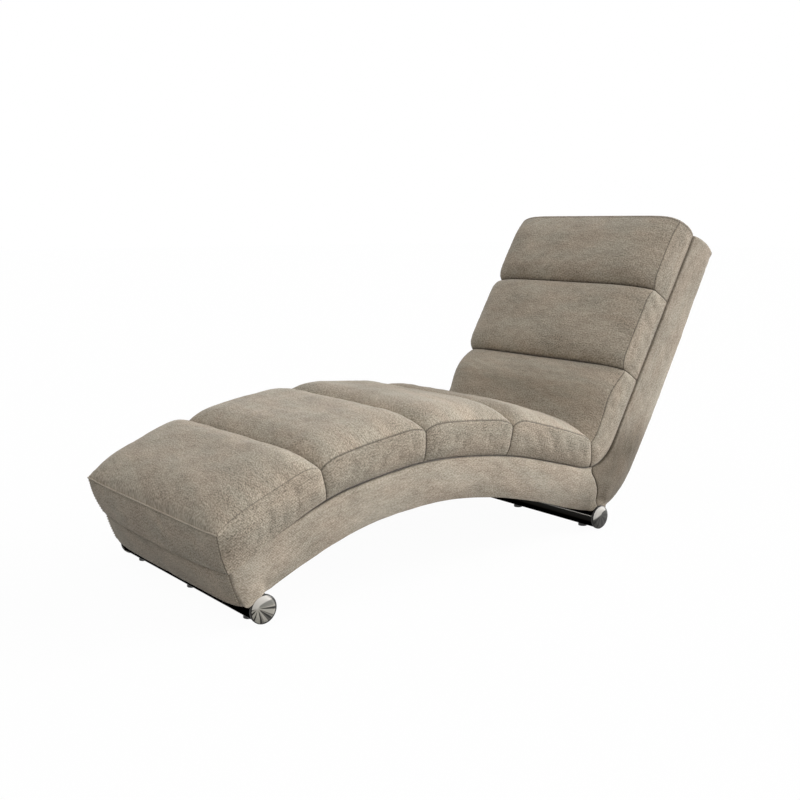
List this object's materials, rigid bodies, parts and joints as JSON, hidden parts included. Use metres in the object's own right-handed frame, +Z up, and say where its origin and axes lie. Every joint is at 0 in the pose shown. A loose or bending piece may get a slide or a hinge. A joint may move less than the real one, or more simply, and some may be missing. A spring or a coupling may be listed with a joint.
{
  "type": "upholstered chaise lounger",
  "caption": "Upholstered relaxing lounger: channelled cushions on an arched padded frame with a raised back, standing on two chrome cross tubes.",
  "frame": {"origin": "on the floor, in the middle of the bounding box", "axes": "+Z up; +Y from the foot end to the back, so the sitter faces -Y; +X across the width"},
  "size_m": [0.6268, 1.6516, 0.8366],
  "materials": {
    "cushion_fabric": "woven upholstery fabric, mottled taupe",
    "frame_fabric": "woven upholstery fabric over thin padding, mottled taupe",
    "chrome_tube": "polished chrome",
    "glide_plastic": "matte black",
    "frame_wood": "raw plywood and softwood",
    "foam": null,
    "webbing": "elastic upholstery webbing",
    "zinc_steel": "zinc plated"
  },
  "bodies": {
    "root": {"base_side_board_left": "frame_wood", "base_side_board_right": "frame_wood", "back_side_board_left": "frame_wood", "back_side_board_right": "frame_wood", "foot_rail": "frame_wood", "front_leg_rail": "frame_wood", "calf_rail": "frame_wood", "crest_rail": "frame_wood", "seat_rail": "frame_wood", "rear_leg_rail": "frame_wood", "lower_back_rail": "frame_wood", "middle_back_rail": "frame_wood", "top_back_rail": "frame_wood", "base_webbing": "webbing", "back_webbing": "webbing", "base_foam_pad": "foam", "back_foam_pad": "foam", "foot_end_cover": "frame_fabric", "base_side_cover_left": "frame_fabric", "base_side_cover_right": "frame_fabric", "back_side_cover_left": "frame_fabric", "back_side_cover_right": "frame_fabric", "rear_cover": "frame_fabric", "top_cover": "frame_fabric", "underside_cover": "frame_fabric", "foot_cushion": "cushion_fabric", "calf_cushion": "cushion_fabric", "thigh_cushion": "cushion_fabric", "seat_cushion": "cushion_fabric", "lumbar_cushion": "cushion_fabric", "middle_back_cushion": "cushion_fabric", "head_cushion": "cushion_fabric", "front_tube": "chrome_tube", "rear_tube": "chrome_tube", "front_cap_left": "chrome_tube", "front_cap_right": "chrome_tube", "rear_cap_left": "chrome_tube", "rear_cap_right": "chrome_tube", "front_glides": "glide_plastic", "rear_glides": "glide_plastic", "front_cradles": "frame_wood", "rear_cradles": "frame_wood", "leg_bolts": "zinc_steel", "leg_nuts": "zinc_steel", "corner_plates": "zinc_steel", "corner_bolts": "zinc_steel", "frame_screws": "zinc_steel"}
  },
  "joints": []
}
